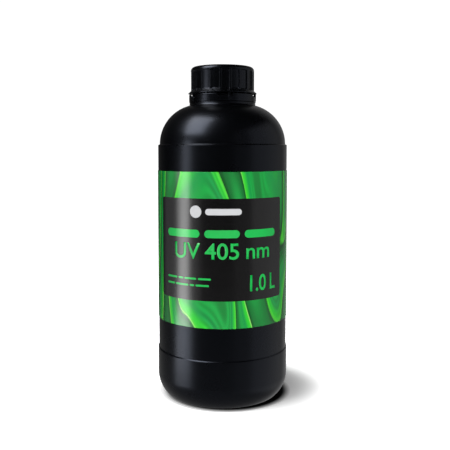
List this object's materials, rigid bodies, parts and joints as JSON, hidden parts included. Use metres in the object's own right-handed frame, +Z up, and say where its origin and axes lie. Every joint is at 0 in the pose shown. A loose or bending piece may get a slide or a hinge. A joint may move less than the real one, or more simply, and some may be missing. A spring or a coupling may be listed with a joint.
{
  "type": "resin bottle",
  "caption": "Round plastic bottle for liquid 3D-printing resin, with a ribbed tamper-evident screw cap, cone seal and wrap-round label.",
  "frame": {"origin": "on the surface that the bottle stands on, under the bottle's axis", "axes": "+Z up along the bottle and neck axis, -Y out of the front of the label, +X to the right seen from the front"},
  "size_m": [0.0886, 0.0884, 0.222],
  "materials": {
    "bottle_plastic": "satin",
    "label_film": "satin",
    "liquid_resin": "gloss",
    "seal_plastic": "satin",
    "cap_plastic": "satin"
  },
  "bodies": {
    "bottle": {"bottle_shell": "bottle_plastic", "wrap_label": "label_film", "resin_fill": "liquid_resin"},
    "tamper_ring": {"tamper_band": "cap_plastic"},
    "seal": {"cone_seal": "seal_plastic"},
    "cap": {"screw_cap": "cap_plastic"}
  },
  "joints": [
    {"name": "ring_spin", "type": "hinge", "parent": "bottle", "child": "tamper_ring", "pos_m": [0, 0, 0.2009], "axis": [0, 0, 1], "continuous": true},
    {"name": "cap_lift", "type": "slide", "parent": "bottle", "child": "seal", "axis": [0, 0, 1], "range_m": [0, 0.0201]},
    {"name": "cap_turn", "type": "hinge", "parent": "seal", "child": "cap", "pos_m": [0, 0, 0.2204], "axis": [0, 0, 1], "range_deg": [0, 1800]}
  ],
  "couplings": [
    {"joint": "cap_lift", "follows": "cap_turn", "m_per_rad": 0.00063662}
  ]
}
